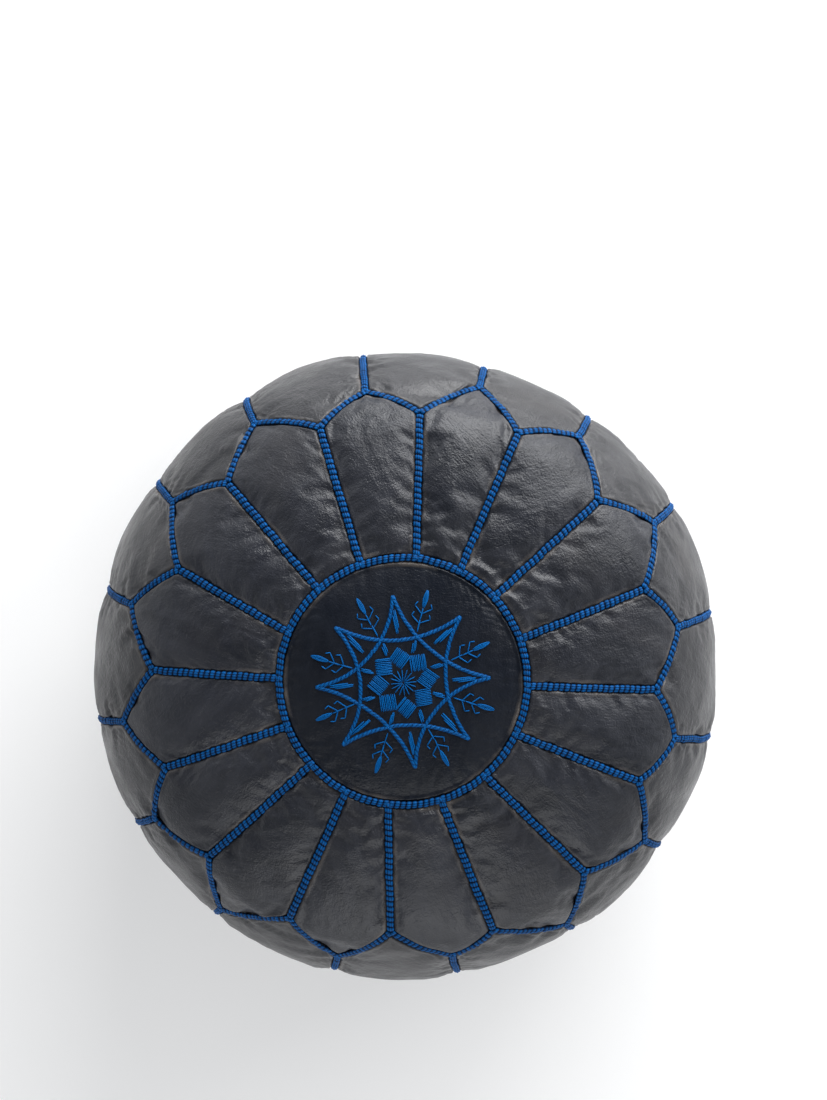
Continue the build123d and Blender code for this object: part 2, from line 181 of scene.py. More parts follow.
def formed(angle, run, lift=0.0):
    """The point of the form at an angle round it and a run down its section, lift outside it.

    The filling has settled a little unevenly, so the turned form swells in and out by up to
    3 mm round its side, and not at all where it stands on the floor.
    """
    angle, run = np.broadcast_arrays(np.asarray(angle, float), np.asarray(run, float))
    radius, height = np.interp(run, RUN, SECTION[:, 0]), np.interp(run, RUN, SECTION[:, 1])
    ahead, behind = run + 0.002, run - 0.002
    before = np.interp(np.abs(behind), RUN, SECTION[:, 0]) * np.sign(behind + 1e-12)
    drop = np.interp(ahead, RUN, SECTION[:, 1]) - np.interp(np.abs(behind), RUN, SECTION[:, 1])
    tangent = np.stack([np.interp(ahead, RUN, SECTION[:, 0]) - before, drop], -1)
    tangent /= np.linalg.norm(tangent, axis=-1, keepdims=True)
    out, up = -tangent[..., 1], tangent[..., 0]
    turned = np.stack([radius * np.cos(angle), radius * np.sin(angle), height], -1)
    firm = np.clip((height - 0.01) / 0.08, 0, 1)
    settled = firm * (0.0022 * swell(turned, 0.26, 11) + 0.0012 * swell(turned, 0.12, 12))
    lift = lift + settled
    return np.stack([(radius + lift * out) * np.cos(angle), (radius + lift * out) * np.sin(angle),
                     height + lift * up], -1)


def plan(radius, degrees):
    """A point in plan."""
    angle = np.radians(degrees)
    return np.stack([radius * np.cos(angle), radius * np.sin(angle)], -1)


def laid(flat, lift=0.0):
    """Points of the top, given in plan, laid on the form."""
    run = np.interp(np.hypot(flat[..., 0], flat[..., 1]), SECTION[UPPER, 0], RUN[UPPER])
    return formed(np.arctan2(flat[..., 1], flat[..., 0]), run, lift)


NUMBER = np.arange(PETALS)
SPOKE_STARTS = plan(MEDALLION_R, FIRST_SPOKE - STEP * NUMBER + SPOKE_LEAN)
VALLEYS = plan(VALLEY_R + VALLEY_REACH, FIRST_SPOKE - STEP * NUMBER + VALLEY_LEAN)
TIP_DEGREES = FIRST_SPOKE + STEP / 2 - STEP * NUMBER + TIP_LEAN
TIPS = plan(TIP_R + TIP_REACH, TIP_DEGREES)


def bowed(start, end, t):
    """A petal's outer edge in plan: the straight line from start to end, bowed outwards."""
    middle = (start + end) / 2
    outward = middle / np.linalg.norm(middle)
    t = np.asarray(t)[..., None]
    return start + (end - start) * t + outward * (4 * PETAL_BOW * t * (1 - t))


# ---- leather panels, stuffed ------------------------------------------------------------------
# Each panel is a piece of dark goatskin, 1.8 mm thick, sewn along its edges and filled from
# behind.  It is laid on the form, swells as cloth held at its seams with pressure behind it,
# and then takes the turned-down edges, puckers and creases of worked leather.
LEATHER = 0.0018
SUNK = 0.0015            # a panel starts this far inside the form, so that it swells out to it


def crowded(count, share=0.8):
    """count + 1 places from 0 to 1, closest together at both ends."""
    t = np.linspace(0, 1, count + 1)
    return t - share * np.sin(2 * np.pi * t) / (2 * np.pi)


def petal_flat(number, u, v):
    """A petal in plan: straight lines from the medallion's seam to the bowed outer edge."""
    u, v = np.meshgrid(u, v)
    before = (number - 1) % PETALS
    first, last = SPOKE_STARTS[number], SPOKE_STARTS[before]
    turn = np.arctan2(first[0] * last[1] - first[1] * last[0], first @ last)
    inner = plan(MEDALLION_R, np.degrees(np.arctan2(first[1], first[0]) + turn * u))
    near = bowed(VALLEYS[number], TIPS[number], np.clip(2 * u, 0, 1))
    far = bowed(TIPS[number], VALLEYS[before], np.clip(2 * u - 1, 0, 1))
    outer = np.where((u < 0.5)[..., None], near, far)
    return inner + (outer - inner) * (1 - v)[..., None]


def petal_place(number, u, v):
    """A petal laid on the form, SUNK inside it."""
    return laid(petal_flat(number, u, v), -SUNK)


def side_place(number, u, v):
    """A side panel: from two petals' edges, down the section at one angle, to the base's seam."""
    u, v = np.meshgrid(u, v)
    after = (number + 1) % PETALS
    near = bowed(TIPS[after], VALLEYS[number], np.clip(2 * u, 0, 1))
    far = bowed(VALLEYS[number], TIPS[number], np.clip(2 * u - 1, 0, 1))
    top = np.where((u < 0.5)[..., None], near, far)
    start = np.interp(np.hypot(top[..., 0], top[..., 1]), SECTION[UPPER, 0], RUN[UPPER])
    return formed(np.arctan2(top[..., 1], top[..., 0]), start + (BASE_RUN - start) * (1 - v), -SUNK)


def disc(a, b):
    """A square's grid drawn onto a disc of radius 1: each square ring becomes a circle."""
    wide = np.abs(a) > np.abs(b)
    radius = np.where(wide, a, b)
    steep = np.where(wide, b / np.where(a == 0, 1, a), a / np.where(b == 0, 1, b)) * np.pi / 4
    return np.stack([radius * np.where(wide, np.cos(steep), np.sin(steep)),
                     radius * np.where(wide, np.sin(steep), np.cos(steep))], -1)


def medallion_place(number, u, v):
    """The one medallion: a square grid drawn onto its disc and laid on the form."""
    a, b = np.meshgrid(2 * u - 1, 2 * v - 1)
    return laid(disc(a, b) * MEDALLION_R, -SUNK)


ZIP_HALF, SLOT_HALF = 0.112, 0.0055


def base_place(number, u, v):
    """Half of the base, past the zip's slot: number is 1 for the +Y half and -1 for the other."""
    a, b = np.meshgrid(number * (1 - 2 * u), v)
    flat = disc(a, b) * BASE_SEAM_R
    depth = np.sqrt(np.maximum(BASE_SEAM_R**2 - flat[..., 0]**2, 1e-12))
    slot = SLOT_HALF * np.clip((ZIP_HALF + 0.006 - np.abs(flat[..., 0])) / 0.006, 0, 1)
    slot = np.minimum(slot, depth)
    across = slot + flat[..., 1] * (1 - slot / depth)
    radius = np.hypot(flat[..., 0], across)
    run = np.interp(radius, SECTION[UNDER, 0][::-1], RUN[UNDER][::-1])
    return formed(np.arctan2(number * across, flat[..., 0]), run, -SUNK)


PANELS = [("top_medallion", medallion_place, 0, (40, 40), (140, 140))]
PANELS += [(f"petal_{n + 1:02d}", petal_place, n, (16, 26), (56, 72)) for n in range(PETALS)]
PANELS += [(f"side_panel_{n + 1:02d}", side_place, n, (20, 70), (60, 150)) for n in range(PETALS)]
PANELS += [("base_half_left", base_place, 1, (56, 28), (150, 75)),
           ("base_half_right", base_place, -1, (56, 28), (150, 75))]


def grid_faces(rows, columns, start=0, round_columns=False):
    """The four corners of each cell of a grid of points numbered row by row from start."""
    row = np.arange(rows - 1)[:, None] * columns
    here = np.arange(columns if round_columns else columns - 1)[None, :]
    there = (here + 1) % columns
    cells = np.stack([row + here, row + there, row + columns + there, row + columns + here], -1)
    return start + cells.reshape(-1, 4)


def skin(name, grids, round_columns=False, capped=False, marks=None):
    """One mesh object of several grids of points (rows, columns, 3), with a number or a vector
    per point for each name in marks.  Tubes have round_columns, and capped closes both ends."""
    faces, start = [], 0
    for grid in grids:
        rows, columns = grid.shape[:2]
        faces += grid_faces(rows, columns, start, round_columns).tolist()
        if capped:
            faces.append(list(range(start + columns - 1, start - 1, -1)))
            faces.append(list(range(start + (rows - 1) * columns, start + rows * columns)))
        start += rows * columns
    mesh = bpy.data.meshes.new(name)
    mesh.from_pydata(np.concatenate([grid.reshape(-1, 3) for grid in grids]).tolist(), [], faces)
    for mark, values in (marks or {}).items():
        flat = np.concatenate([np.ravel(v) for v in values]).astype(np.float32)
        sort, slot = ("FLOAT_VECTOR", "vector") if values[0].ndim == 3 else ("FLOAT", "value")
        mesh.attributes.new(mark, sort, "POINT").data.foreach_set(slot, flat)
    mesh.shade_smooth()
    piece = bpy.data.objects.new(name, mesh)
    scene.collection.objects.link(piece)
    return piece


# How much fuller than flat each kind of panel is cut, and how much more its edges are gathered,
# both as shares of the fullest, which is a tenth longer each way.
FULL = {"top": (0.045, 0.05), "petal": (0.18, 0.11), "side": (0.14, 0.24), "base": (0.0, 0.15)}
MOMENTS = 26             # in which the leather comes to rest


def swollen(rests, kinds):
    """Where cloth panels come to rest: each is held at its edges, cut a little full, most of all
    along its edges where the sewing gathers it, and pushed out by the filling.

    The group "tight" is 1 where a panel is cut flat, and the cloth grows by a tenth where it is 0.
    """
    sheet = skin("cutting", rests)
    held, full, start = [], np.zeros(len(sheet.data.vertices)), 0
    for rest, kind in zip(rests, kinds):
        ease, gathered = FULL[kind]
        rows, columns = rest.shape[:2]
        number = np.arange(rows * columns).reshape(rows, columns) + start
        edge = np.ones((rows, columns), bool)
        edge[1:-1, 1:-1] = False
        held += number[edge].tolist()
        row, column = np.mgrid[0:rows, 0:columns]
        inside = np.minimum(np.minimum(row, rows - 1 - row), np.minimum(column, columns - 1 - column))
        gather = gathered * np.exp(-inside / 3.0) * np.clip(0.8 + 0.6 * swell(rest, 0.045, 21), 0, 1.3)
        full[number] = np.clip(ease * (1 + 0.4 * swell(rest, 0.10, 22)) + gather, 0, 1)
        start += rows * columns
    pins = sheet.vertex_groups.new(name="sewn")
    pins.add(held, 1.0, "REPLACE")
    tight = sheet.vertex_groups.new(name="tight")
    levels = 40
    for level in range(1, levels + 1):
        share = np.nonzero(np.round((1 - full) * levels) == level)[0]
        tight.add(share.tolist(), level / levels, "REPLACE")
    cloth = sheet.modifiers.new("leather", "CLOTH")
    rule = cloth.settings
    rule.quality = 5
    rule.mass = 0.002
    rule.tension_stiffness = 40
    rule.compression_stiffness = 30
    rule.shear_stiffness = 25
    rule.bending_stiffness = 1.0
    rule.vertex_group_mass = "sewn"
    rule.use_pressure = True
    rule.uniform_pressure_force = 40.0
    rule.vertex_group_shrink = "tight"
    rule.shrink_max = 0.0
    rule.shrink_min = -0.10
    rule.effector_weights.gravity = 0.0
    cloth.point_cache.frame_start = 1
    cloth.point_cache.frame_end = MOMENTS
    for moment in range(MOMENTS):
        scene.frame_set(moment + 1)
    worn = sheet.evaluated_get(bpy.context.evaluated_depsgraph_get()).to_mesh()
    settled = np.zeros(len(worn.vertices) * 3, np.float32)
    worn.vertices.foreach_get("co", settled)
    scene.frame_set(1)
    bpy.data.objects.remove(sheet)
    ends = np.cumsum([rest.shape[0] * rest.shape[1] for rest in rests])[:-1]
    parts = np.split(settled.reshape(-1, 3), ends)
    return [part.reshape(rest.shape) for part, rest in zip(parts, rests)]


def smooth_between(values, rows, columns):
    """A coarse grid's values at fractional rows and columns, blended both ways by the cubic
    that passes through the two nearest values and leans as their neighbours do."""
    def blend(table, place):
        count = len(table)
        low = np.clip(place.astype(int), 0, count - 2)
        t = (place - low)[:, None, None]
        at = [table[np.clip(low + k, 0, count - 1)] for k in (-1, 0, 1, 2)]
        square = 2 * at[0] - 5 * at[1] + 4 * at[2] - at[3]
        cube = 3 * at[1] - at[0] - 3 * at[2] + at[3]
        return 0.5 * (2 * at[1] + (at[2] - at[0]) * t + square * t**2 + cube * t**3)

    return blend(blend(values, rows).swapaxes(0, 1), columns).swapaxes(0, 1)


def outward(grid):
    """Unit normals of a grid of points: its step along a row crossed with its step down."""
    normal = np.cross(np.gradient(grid, axis=1), np.gradient(grid, axis=0))
    return normal / np.maximum(np.linalg.norm(normal, axis=-1, keepdims=True), 1e-12)


def nearest_edge(grid):
    """Each point's distance to the panel's nearest edge, and that edge's nearest point."""
    rim = np.concatenate([grid[0], grid[1:, -1], grid[-1, -2::-1], grid[-2::-1, 0]])
    share = np.linspace(0, 1, 4, endpoint=False)[None, :, None]
    rim = (rim[:-1, None] + (rim[1:] - rim[:-1])[:, None] * share).reshape(-1, 3)
    points = grid.reshape(-1, 3)
    square = (points**2).sum(1)[:, None] + (rim**2).sum(1)[None] - 2 * points @ rim.T
    nearest = square.argmin(1)
    gap = np.sqrt(np.maximum(square[np.arange(len(points)), nearest], 0))
    return gap.reshape(grid.shape[:2]), rim[nearest].reshape(grid.shape)


def worked(grid, gather, crease, roll, seed):
    """Leather as it lies when sewn: its edge turns down under the braid behind a slight roll,
    puckers run in from the sewing and die away, and a few creases cross it.

    The edge is a bell of depth against distance; a pucker is a swell read at the nearest edge
    point, so it runs square to the seam; a crease is a narrow bell about a swell's zero lines.
    """
    gap, rim = nearest_edge(grid)
    turned = -0.0016 * np.exp(-(gap / 0.0022)**2) - 0.0012 * np.exp(-gap / 0.006)
    turned += roll * np.exp(-((gap - 0.0045) / 0.0014)**2)
    ridge = 0.5 - np.abs(swell(rim, 0.017, seed)) - 0.5 * np.abs(swell(rim, 0.008, seed + 1))
    patchy = np.clip(0.6 + 0.6 * swell(rim, 0.07, seed + 2), 0.1, 1.2)
    pucker = gather * ridge * patchy * np.exp(-gap / 0.013) * (1 - np.exp(-gap / 0.003))
    inner = np.clip(gap / 0.012, 0, 1)
    folds = -crease * np.exp(-(swell(grid, 0.075, seed + 3) / 0.055)**2)
    folds *= np.clip(0.7 * swell(grid, 0.09, seed + 4) + 0.1, 0, 1)
    rub = 0.35 * crease * (1 - np.abs(swell(grid, 0.03, seed + 5)))
    lift = turned + pucker + inner * (folds + rub)
    shaped = grid + outward(grid) * lift[..., None]
    shaped[..., 2] = np.maximum(shaped[..., 2], 0.0003)
    return shaped, gap


def finish(name):
    """A new material, its node tree and its shader."""
    material = bpy.data.materials.new(name)
    material.use_nodes = True
    return material, material.node_tree, material.node_tree.nodes["Principled BSDF"]


def mark(tree, label):
    """The node that reads one of a piece's own marks."""
    node = tree.nodes.new("ShaderNodeAttribute")
    node.attribute_name = label
    return node


def ranged(tree, value, low, high, to_low, to_high):
    """A value moved in proportion from low and high to to_low and to_high, and held there."""
    node = tree.nodes.new("ShaderNodeMapRange")
    ends = ("From Min", "From Max", "To Min", "To Max")
    for end, number in zip(ends, (low, high, to_low, to_high)):
        node.inputs[end].default_value = number
    tree.links.new(value, node.inputs["Value"])
    return node.outputs["Result"]


def mixed(tree, share, first, second):
    """The first colour where share is 0, the second where it is 1."""
    node = tree.nodes.new("ShaderNodeMix")
    node.data_type = "RGBA"
    tree.links.new(share, node.inputs[0])
    for socket, colour in ((node.inputs[6], first), (node.inputs[7], second)):
        if isinstance(colour, tuple):
            socket.default_value = (*colour, 1.0)
        else:
            tree.links.new(colour, socket)
    return node.outputs[2]


def bumped(tree, height, depth, strength, before=None):
    """The surface's normal after a bump of this depth over the bump before it."""
    node = tree.nodes.new("ShaderNodeBump")
    node.inputs["Strength"].default_value = strength
    node.inputs["Distance"].default_value = depth
    tree.links.new(height, node.inputs["Height"])
    if before:
        tree.links.new(before, node.inputs["Normal"])
    return node.outputs["Normal"]


def hide(name, dark, pale, shine, grain, gloss, wear_and_highlight):
    """Dyed goatskin: cloudy colour, a patchy pale tan band beside the seams that is partly
    rubbed wear and partly a painted highlight on the raised edge there, a pebbled grain,
    drawn wrinkles that run askew, and a soft sheen that is uneven like the colour."""
    material, tree, shader = finish(name)
    links = tree.links
    place = mark(tree, "cut").outputs["Vector"]

    def noise(scale, detail=3.0, stretch=None, askew=0.0, rough=0.55, twist=0.0):
        node = tree.nodes.new("ShaderNodeTexNoise")
        node.inputs["Scale"].default_value = scale
        node.inputs["Detail"].default_value = detail
        node.inputs["Roughness"].default_value = rough
        node.inputs["Distortion"].default_value = twist
        if stretch:
            turned = tree.nodes.new("ShaderNodeMapping")
            turned.inputs["Scale"].default_value = stretch
            turned.inputs["Rotation"].default_value = (0.3, 0.2, askew)
            links.new(place, turned.inputs["Vector"])
            links.new(turned.outputs["Vector"], node.inputs["Vector"])
        else:
            links.new(place, node.inputs["Vector"])
        return node.outputs["Fac"]

    def times(colour, factor):
        return tuple(np.array(colour) * factor)

    clouds = ranged(tree, noise(1.0, 5.0, (9.0, 24.0, 14.0), 0.8, 0.6, 1.0), 0.36, 0.66, 0.0, 1.0)
    body = mixed(tree, clouds, dark, pale)
    smears = noise(1.0, 6.0, (26.0, 70.0, 40.0), 0.9, 0.65, 1.5)
    body = mixed(tree, ranged(tree, smears, 0.46, 0.62, 0.0, 0.55), body, times(pale, 1.35))
    warm = ranged(tree, noise(13.0, 3.0, twist=0.6), 0.52, 0.72, 0.0, 0.5)
    body = mixed(tree, warm, body, times(pale, (1.25, 1.12, 0.98)))
    body = mixed(tree, mark(tree, "tone").outputs["Fac"], body, times(pale, 1.5))
    # Pale tan band 3 to 7 mm from the seams: partly rubbed wear, partly a painted highlight of the
    # raised edge that the roll makes there
    wear_and_edge_highlight = tree.nodes.new("ShaderNodeMath")
    wear_and_edge_highlight.operation = "MULTIPLY"
    beside = mark(tree, "gap").outputs["Fac"]
    links.new(ranged(tree, beside, 0.0032, 0.0070, 1.0, 0.0), wear_and_edge_highlight.inputs[0])
    links.new(ranged(tree, noise(30.0), 0.47, 0.68, 0.0, wear_and_highlight), wear_and_edge_highlight.inputs[1])
    body = mixed(tree, wear_and_edge_highlight.outputs[0], body, (0.165, 0.145, 0.128))
    flecks = ranged(tree, noise(420.0, 2.0), 0.60, 0.80, 0.0, 0.35)
    body = mixed(tree, flecks, body, times(pale, 1.9))
    links.new(body, shader.inputs["Base Color"])
    rough = ranged(tree, noise(24.0, 5.0), 0.3, 0.7, shine - 0.10, shine + 0.12)
    links.new(rough, shader.inputs["Roughness"])
    shader.inputs["Specular IOR Level"].default_value = gloss

    pebble = tree.nodes.new("ShaderNodeTexVoronoi")
    pebble.feature = "SMOOTH_F1"
    pebble.inputs["Scale"].default_value = 780.0
    links.new(place, pebble.inputs["Vector"])
    normal = None
    for height, depth in (
        (noise(38.0, 4.0, twist=0.8), 0.0016 * grain),
        (noise(1.0, 5.0, (50.0, 210.0, 90.0), 0.55, 0.62, 1.2), 0.00055 * grain),
        (noise(1.0, 4.0, (280.0, 80.0, 120.0), -0.35, 0.62, 1.0), 0.00040 * grain),
        (noise(250.0, 3.0, rough=0.65), 0.00042 * grain),
        (pebble.outputs["Distance"], 0.00028 * grain),
    ):
        normal = bumped(tree, height, depth, 0.8, normal)
    links.new(normal, shader.inputs["Normal"])
    return material


# The medallion is given a darker, bluer, less glossy and closer grained hide than the rest
top_hide = hide("top_hide", (0.003, 0.0045, 0.0080), (0.008, 0.0098, 0.0145), 0.37, 0.7, 0.19, 0.9)
petal_hide = hide("petal_hide", (0.0055, 0.007, 0.011), (0.020, 0.0215, 0.0275), 0.39, 1.0, 0.33, 0.6)
side_hide = hide("side_hide", (0.0075, 0.0085, 0.0115), (0.022, 0.0225, 0.026), 0.38, 1.0, 0.38, 0.55)

rests = [place(number, np.linspace(0, 1, coarse[0] + 1), np.linspace(0, 1, coarse[1] + 1))
         for name, place, number, coarse, fine in PANELS]
settled = swollen(rests, [name.split("_")[0] for name, *_ in PANELS])


def lay_of_hide(index):
    """A turn about Z, so that each panel's wrinkles run the way its piece of hide was cut."""
    angle = np.random.default_rng(700 + index).uniform(0, 2 * np.pi)
    cos, sin = np.cos(angle), np.sin(angle)
    return np.array([[cos, -sin, 0], [sin, cos, 0], [0, 0, 1.0]])


PANEL_TONE = np.random.default_rng(5).uniform(0.0, 0.30, len(PANELS))
WORKED = {                 # depth of the puckers and of the creases, height of the edge's roll
    "top": (0.0003, 0.0003, 0.0010),
    "petal": (0.0007, 0.0009, 0.0005),
    "side": (0.0017, 0.0010, 0.0005),
    "base": (0.0010, 0.0006, 0.0004),
}
STUFFED = {"top": 0.013, "petal": 0.013, "side": 0.013, "base": 0.005}      # most swelling
panel_grids = {}
for index, (name, place, number, coarse, fine) in enumerate(PANELS):
    u, v = crowded(fine[0]), crowded(fine[1])
    swell_out = smooth_between(settled[index] - rests[index], v * coarse[1], u * coarse[0])
    reach = np.linalg.norm(swell_out, axis=-1, keepdims=True)
    kind = name.split("_")[0]
    swell_out *= np.minimum(1, STUFFED[kind] / np.maximum(reach, 1e-9))
    grid, gap = worked(place(number, u, v) + swell_out, *WORKED[kind], 100 + 10 * index)
    if kind == "base":
        # The zip's stitches hold the leather flat to the tapes
        beside = np.clip((0.026 - np.abs(grid[..., 1])) / 0.014, 0, 1)
        beside *= np.clip((0.132 - np.abs(grid[..., 0])) / 0.010, 0, 1)
        beside = beside**2 * (3 - 2 * beside)
        grid[..., 2] += beside * (RECESS_UP - grid[..., 2])
    panel_grids[name] = grid
    cut = grid @ lay_of_hide(index).T + 0.7 * index
    tone = np.full(gap.shape, PANEL_TONE[index])
    panel = skin(name + "_leather", [grid], marks={"gap": [gap], "tone": [tone], "cut": [cut]})
    panel.data.materials.append({"top": top_hide, "petal": petal_hide}.get(kind, side_hide))
    thick = panel.modifiers.new("thickness", "SOLIDIFY")
    thick.thickness = LEATHER
    thick.offset = -1.0
    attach(panel, "cover")
    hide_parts(name)

# ---- braids over the seams --------------------------------------------------------------------
# Every seam is closed by hand with thick blue thread: three strands side by side, drawn down
# again every few millimetres, so that they stand up in a row of small barrels.
BRAID_HALF = 0.0029
BRAID_UP = 0.0024
BRAID_PITCH = 0.0043
BRAID_SINK = 0.0014
UNIT_STEPS = np.array([0.0, 0.07, 0.22, 0.5, 0.78, 0.93])
MARKS = ("along", "across", "hue", "groove_shade")


def along_path(path, places):
    """Points and headings of a path at shares of its length, by straight lines between points."""
    run = np.concatenate([[0], np.cumsum(np.linalg.norm(np.diff(path, axis=0), axis=1))])
    at = places * run[-1]
    point = np.stack([np.interp(at, run, path[:, k]) for k in range(3)], 1)
    heading = np.gradient(point, at, axis=0)
    heading /= np.linalg.norm(heading, axis=1, keepdims=True)
    return point, heading


def braid(path, facing, seed, closed=False, half=BRAID_HALF, up=BRAID_UP, pitch=BRAID_PITCH,
          ribs=3, slant=0.12):
    """A braid along a path: ribs strands side by side on a flat back, drawn in at every unit.

    rib is an arch of sine across each strand, and rise an arch of sine along each unit, slipped
    by slant from one side to the other.  The top stands up * dome * (0.40 + 0.38 rise + 0.22
    rib * rise) over the path, where dome is the root of 1 - across squared.
    """
    dice = np.random.default_rng(seed)
    length = np.linalg.norm(np.diff(path, axis=0), axis=1).sum()
    units = max(2, int(round(length / pitch)))
    phase = (np.arange(units)[:, None] + UNIT_STEPS).ravel()
    phase = phase if closed else np.append(phase, units)
    point, heading = along_path(path, phase / units)
    if closed:
        heading = np.roll(point, -1, 0) - np.roll(point, 1, 0)
        heading /= np.linalg.norm(heading, axis=1, keepdims=True)
    known = np.linspace(0, 1, len(facing))
    face = np.stack([np.interp(phase / units, known, facing[:, k]) for k in range(3)], 1)
    face -= heading * (face * heading).sum(1, keepdims=True)
    face /= np.linalg.norm(face, axis=1, keepdims=True)
    side = np.cross(heading, face)
    top = np.linspace(-1, 1, 4 * ribs + 1)
    across = np.concatenate([top, [0.7, 0.0, -0.7]])[None, :]
    unit = np.floor(np.minimum(phase, units - 0.001)).astype(int)
    tall = dice.uniform(0.80, 1.14, units)[unit][:, None]
    drift = half * (dice.uniform(-0.08, 0.08, units)[unit] + 0.07 * swell(point, 0.02, seed))[:, None]
    rise = np.abs(np.sin(np.pi * (phase[:, None] + slant * across)))**0.6
    rib = np.abs(np.sin(0.5 * np.pi * ribs * (across + 1)))**0.7
    dome = np.sqrt(np.maximum(1 - across**2, 0.04))
    proud = up * tall * dome * (0.40 + 0.38 * rise + 0.22 * rib * rise)
    proud = np.where(np.arange(across.size)[None, :] < top.size, proud, -0.35 * up * dome)
    wide = half * (0.86 + 0.14 * rise) * dice.uniform(0.93, 1.05, units)[unit][:, None]
    if not closed:
        ends = np.clip(np.minimum(phase, units - phase) / 0.25, 0.15, 1)[:, None]**0.5
        proud, wide = proud * ends, wide * ends
    grid = point[:, None] + side[:, None] * (wide * across + drift)[..., None]
    grid = grid + face[:, None] * proud[..., None]
    grid[..., 2] = np.maximum(grid[..., 2], 0.00012)
    whole = np.ones_like(proud)
    # groove_shade is painted shade: it darkens the thread between the units and between the strands
    marks = {"groove_shade": 1 - rise * (0.45 + 0.55 * rib) * whole, "along": phase[:, None] * whole,
             "across": across * whole, "hue": dice.uniform(0, 1, units)[unit][:, None] * whole}
    if closed:
        grid = np.concatenate([grid, grid[:1]])
        marks = {k: np.concatenate([m, m[:1]]) for k, m in marks.items()}
    return grid, marks


def thread(name, shade_blue, bright, fibre):
    """Blue thread: painted shade makes it darker down between the units and the strands and
    along the low lines of its fibre bump; each unit is a little lighter or darker at random,
    with fine fibres that run along the strands, and hardly any gloss."""
    material, tree, shader = finish(name)
    links = tree.links
    along, across, hue, groove_shade = [mark(tree, label).outputs["Fac"] for label in MARKS]
    lay = tree.nodes.new("ShaderNodeCombineXYZ")
    links.new(ranged(tree, along, 0, 1, 0, 1.2), lay.inputs[0])
    links.new(ranged(tree, across, 0, 1, 0, 7.0), lay.inputs[1])
    strands = tree.nodes.new("ShaderNodeTexNoise")
    strands.inputs["Scale"].default_value = fibre
    strands.inputs["Detail"].default_value = 3.0
    links.new(lay.outputs[0], strands.inputs["Vector"])
    colour = mixed(tree, hue, bright, tuple(np.array(bright) * 0.78))
    # Painted shade: the thread is darker where its fibre bump is low, and darkest between the units
    colour = mixed(tree, ranged(tree, strands.outputs["Fac"], 0.35, 0.70, 0.45, 0.0), colour, shade_blue)
    colour = mixed(tree, ranged(tree, groove_shade, 0.18, 0.70, 0.0, 1.0), colour, shade_blue)
    links.new(colour, shader.inputs["Base Color"])
    shader.inputs["Roughness"].default_value = 0.50
    shader.inputs["Specular IOR Level"].default_value = 0.08
    links.new(bumped(tree, strands.outputs["Fac"], 0.0004, 0.7), shader.inputs["Normal"])
    return material


seam_thread = thread("seam_thread", (0.0001, 0.003, 0.016), (0.0012, 0.122, 0.420), 2.2)


def outside(path_of, places):
    """The points of a path just inside the form, and which way is out there."""
    point, above = path_of(places, -BRAID_SINK), path_of(places, 0.002)
    facing = above - point
    return point, facing / np.linalg.norm(facing, axis=1, keepdims=True)


def braids(name, paths, node, seed, closed=False):
    """One piece of several braids, each along a path that is a function of share and lift."""
    made = [braid(*outside(path, np.linspace(0, 1, 240)), seed + k, closed)
            for k, path in enumerate(paths)]
    piece = skin(name, [grid for grid, _ in made], True, not closed,
                 {key: [marks[key] for _, marks in made] for key in MARKS})
    piece.data.materials.append(seam_thread)
    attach(piece, "cover")
    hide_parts(node)


def spoke(number, t):
    """A spoke seam in plan, from just inside the ring's braid to just short of the valley."""
    share = (-0.02 + 1.012 * t)[:, None]
    return SPOKE_STARTS[number] * (1 - share) + VALLEYS[number] * share


RING_RUN = np.interp(MEDALLION_R, SECTION[UPPER, 0], RUN[UPPER])
TIP_RUN = np.interp(np.hypot(*TIPS.T), SECTION[UPPER, 0], RUN[UPPER])
braids("medallion_ring_stitching",
       [lambda t, lift: formed(2 * np.pi * t, RING_RUN, lift)], "medallion_ring_braid", 300, True)
braids("spoke_stitching",
       [lambda t, lift, n=n: laid(spoke(n, t), lift) for n in NUMBER], "spoke_braids", 320)
braids("petal_edge_stitching",
       [lambda t, lift, a=a, b=b: laid(bowed(a, b, t), lift)
        for n in NUMBER for a, b in ((VALLEYS[n], TIPS[n]), (TIPS[n], VALLEYS[n - 1]))],
       "scallop_braid", 350)
for n in NUMBER:
    start, fall = TIP_RUN[n], BASE_RUN - TIP_RUN[n]
    braids(f"side_seam_stitching_{n + 1:02d}",
           [lambda t, lift: formed(np.radians(TIP_DEGREES[n]), start + fall * t, lift)],
           "side_seam_braids", 400 + n)
braids("base_seam_stitching",
       [lambda t, lift: formed(-2 * np.pi * t, BASE_RUN, lift)], "base_seam_braid", 430, True)

# ---- embroidery on the medallion --------------------------------------------------------------
# Worked by hand in a brighter blue: an eight-pointed star of two interlaced hollow squares in
# thick stem stitch, with leaves, squares, a rayed centre and sprigs in long flat stitches.
STAR_R = 0.0645
STAR_TURN = 95 - 45 * np.arange(8) + np.array([2, -1, -2, -1, 3, -4, -2, 1])
STAR_WAIST = 0.487 * STAR_R
MEDALLION = panel_grids["top_medallion"]
MEDALLION_OUT = outward(MEDALLION)


